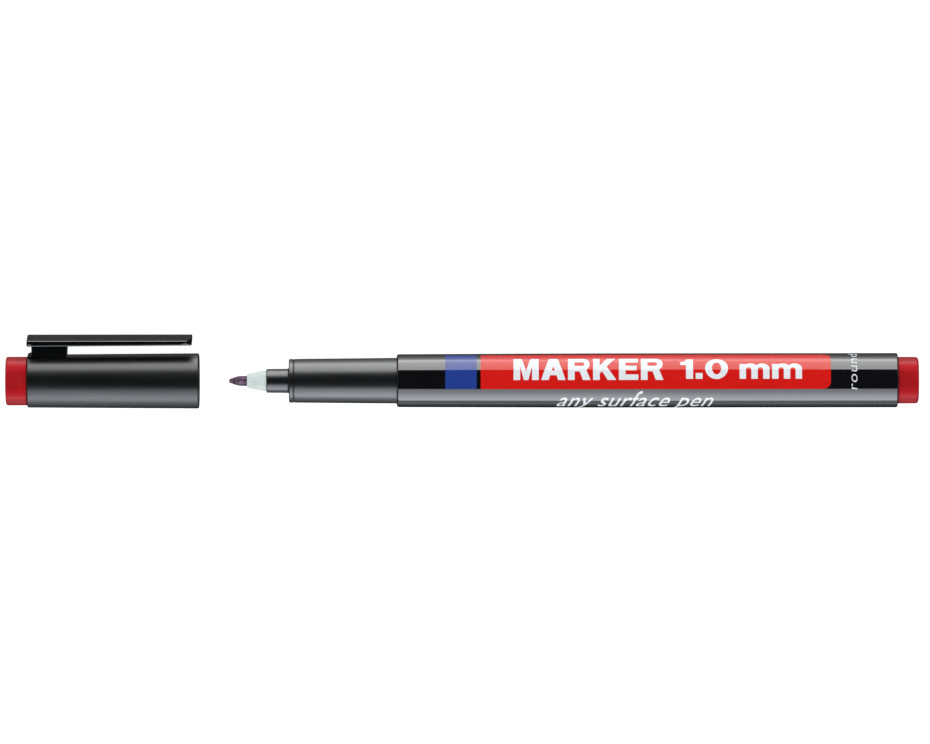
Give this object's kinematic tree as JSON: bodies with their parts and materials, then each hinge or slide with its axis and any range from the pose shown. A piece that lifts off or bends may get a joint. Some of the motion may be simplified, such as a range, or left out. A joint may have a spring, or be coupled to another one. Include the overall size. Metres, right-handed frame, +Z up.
{
  "type": "fibre-tip marker pen",
  "caption": "Slim round fibre-tip marker pen lying in line with its pulled-off clip cap; the cap slides back over the nib and the clip springs open.",
  "frame": {"origin": "centre of the flat end of the rear plug, on the pen's axis; the pen lies on a surface 5.40 mm below this axis", "axes": "+X along the pen's axis from the rear plug through the nib to the cap's closed end; +Z up as the pen lies; the clip points to -Y and down, with one edge on the surface"},
  "size_m": [0.1782, 0.0145, 0.0108],
  "materials": {
    "barrel_black": "polished",
    "matt_black": "satin",
    "cap_black": "matte",
    "clip_black": "gloss",
    "plug_red": "gloss",
    "holder_white": "satin",
    "nib_fibre": "matte",
    "reservoir_fibre": "matte",
    "wrap_film": "satin",
    "seal_white": "satin",
    "label_red": "polished",
    "label_blue": "polished",
    "label_white": "polished"
  },
  "bodies": {
    "pen": {"barrel": "barrel_black", "front_section": "matt_black", "nib_holder": "holder_white", "fibre_nib": "nib_fibre", "ink_reservoir": "reservoir_fibre", "reservoir_wrap": "wrap_film", "rear_plug": "plug_red"},
    "cap": {"cap_tube": "cap_black", "cap_end_plug": "plug_red", "inner_cap": "seal_white", "clip_root": "clip_black"},
    "clip": {"clip_arm": "clip_black"}
  },
  "joints": [
    {"name": "cap_slide", "type": "slide", "parent": "pen", "child": "cap", "axis": [-1, 0, 0], "range_m": [0, 0.03857]},
    {"name": "clip_flex", "type": "hinge", "parent": "cap", "child": "clip", "pos_m": [0.1654, -0.00772, -0.00286], "axis": [0, -0.3472, 0.9378], "range_deg": [0, 5], "stiffness_Nm_per_rad": 0.5}
  ]
}
